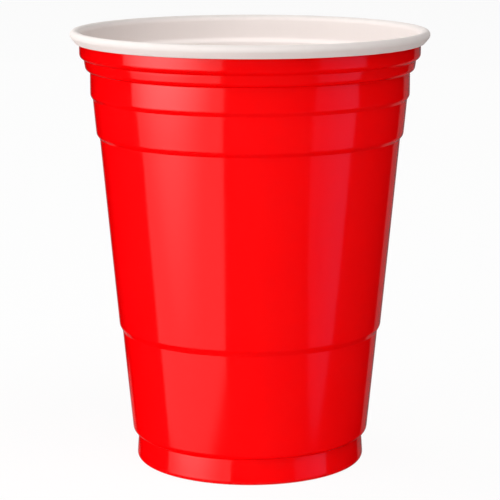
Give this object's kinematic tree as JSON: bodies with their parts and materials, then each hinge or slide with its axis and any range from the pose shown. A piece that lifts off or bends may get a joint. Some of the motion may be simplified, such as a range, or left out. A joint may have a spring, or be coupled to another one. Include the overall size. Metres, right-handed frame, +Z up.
{
  "type": "plastic cup",
  "caption": "Tapered round drinking cup of thin red plastic, white inside, with a rolled white lip, stepped stacking rings and a recessed base.",
  "frame": {"origin": "middle of the foot ring, on the surface the cup stands on", "axes": "+Z up the cup's axis towards its mouth; the cup is round, so X and Y have no mark on it"},
  "size_m": [0.095, 0.095, 0.1161],
  "materials": {
    "cup_sheet": "gloss"
  },
  "bodies": {
    "root": {"cup": "cup_sheet"}
  },
  "joints": []
}
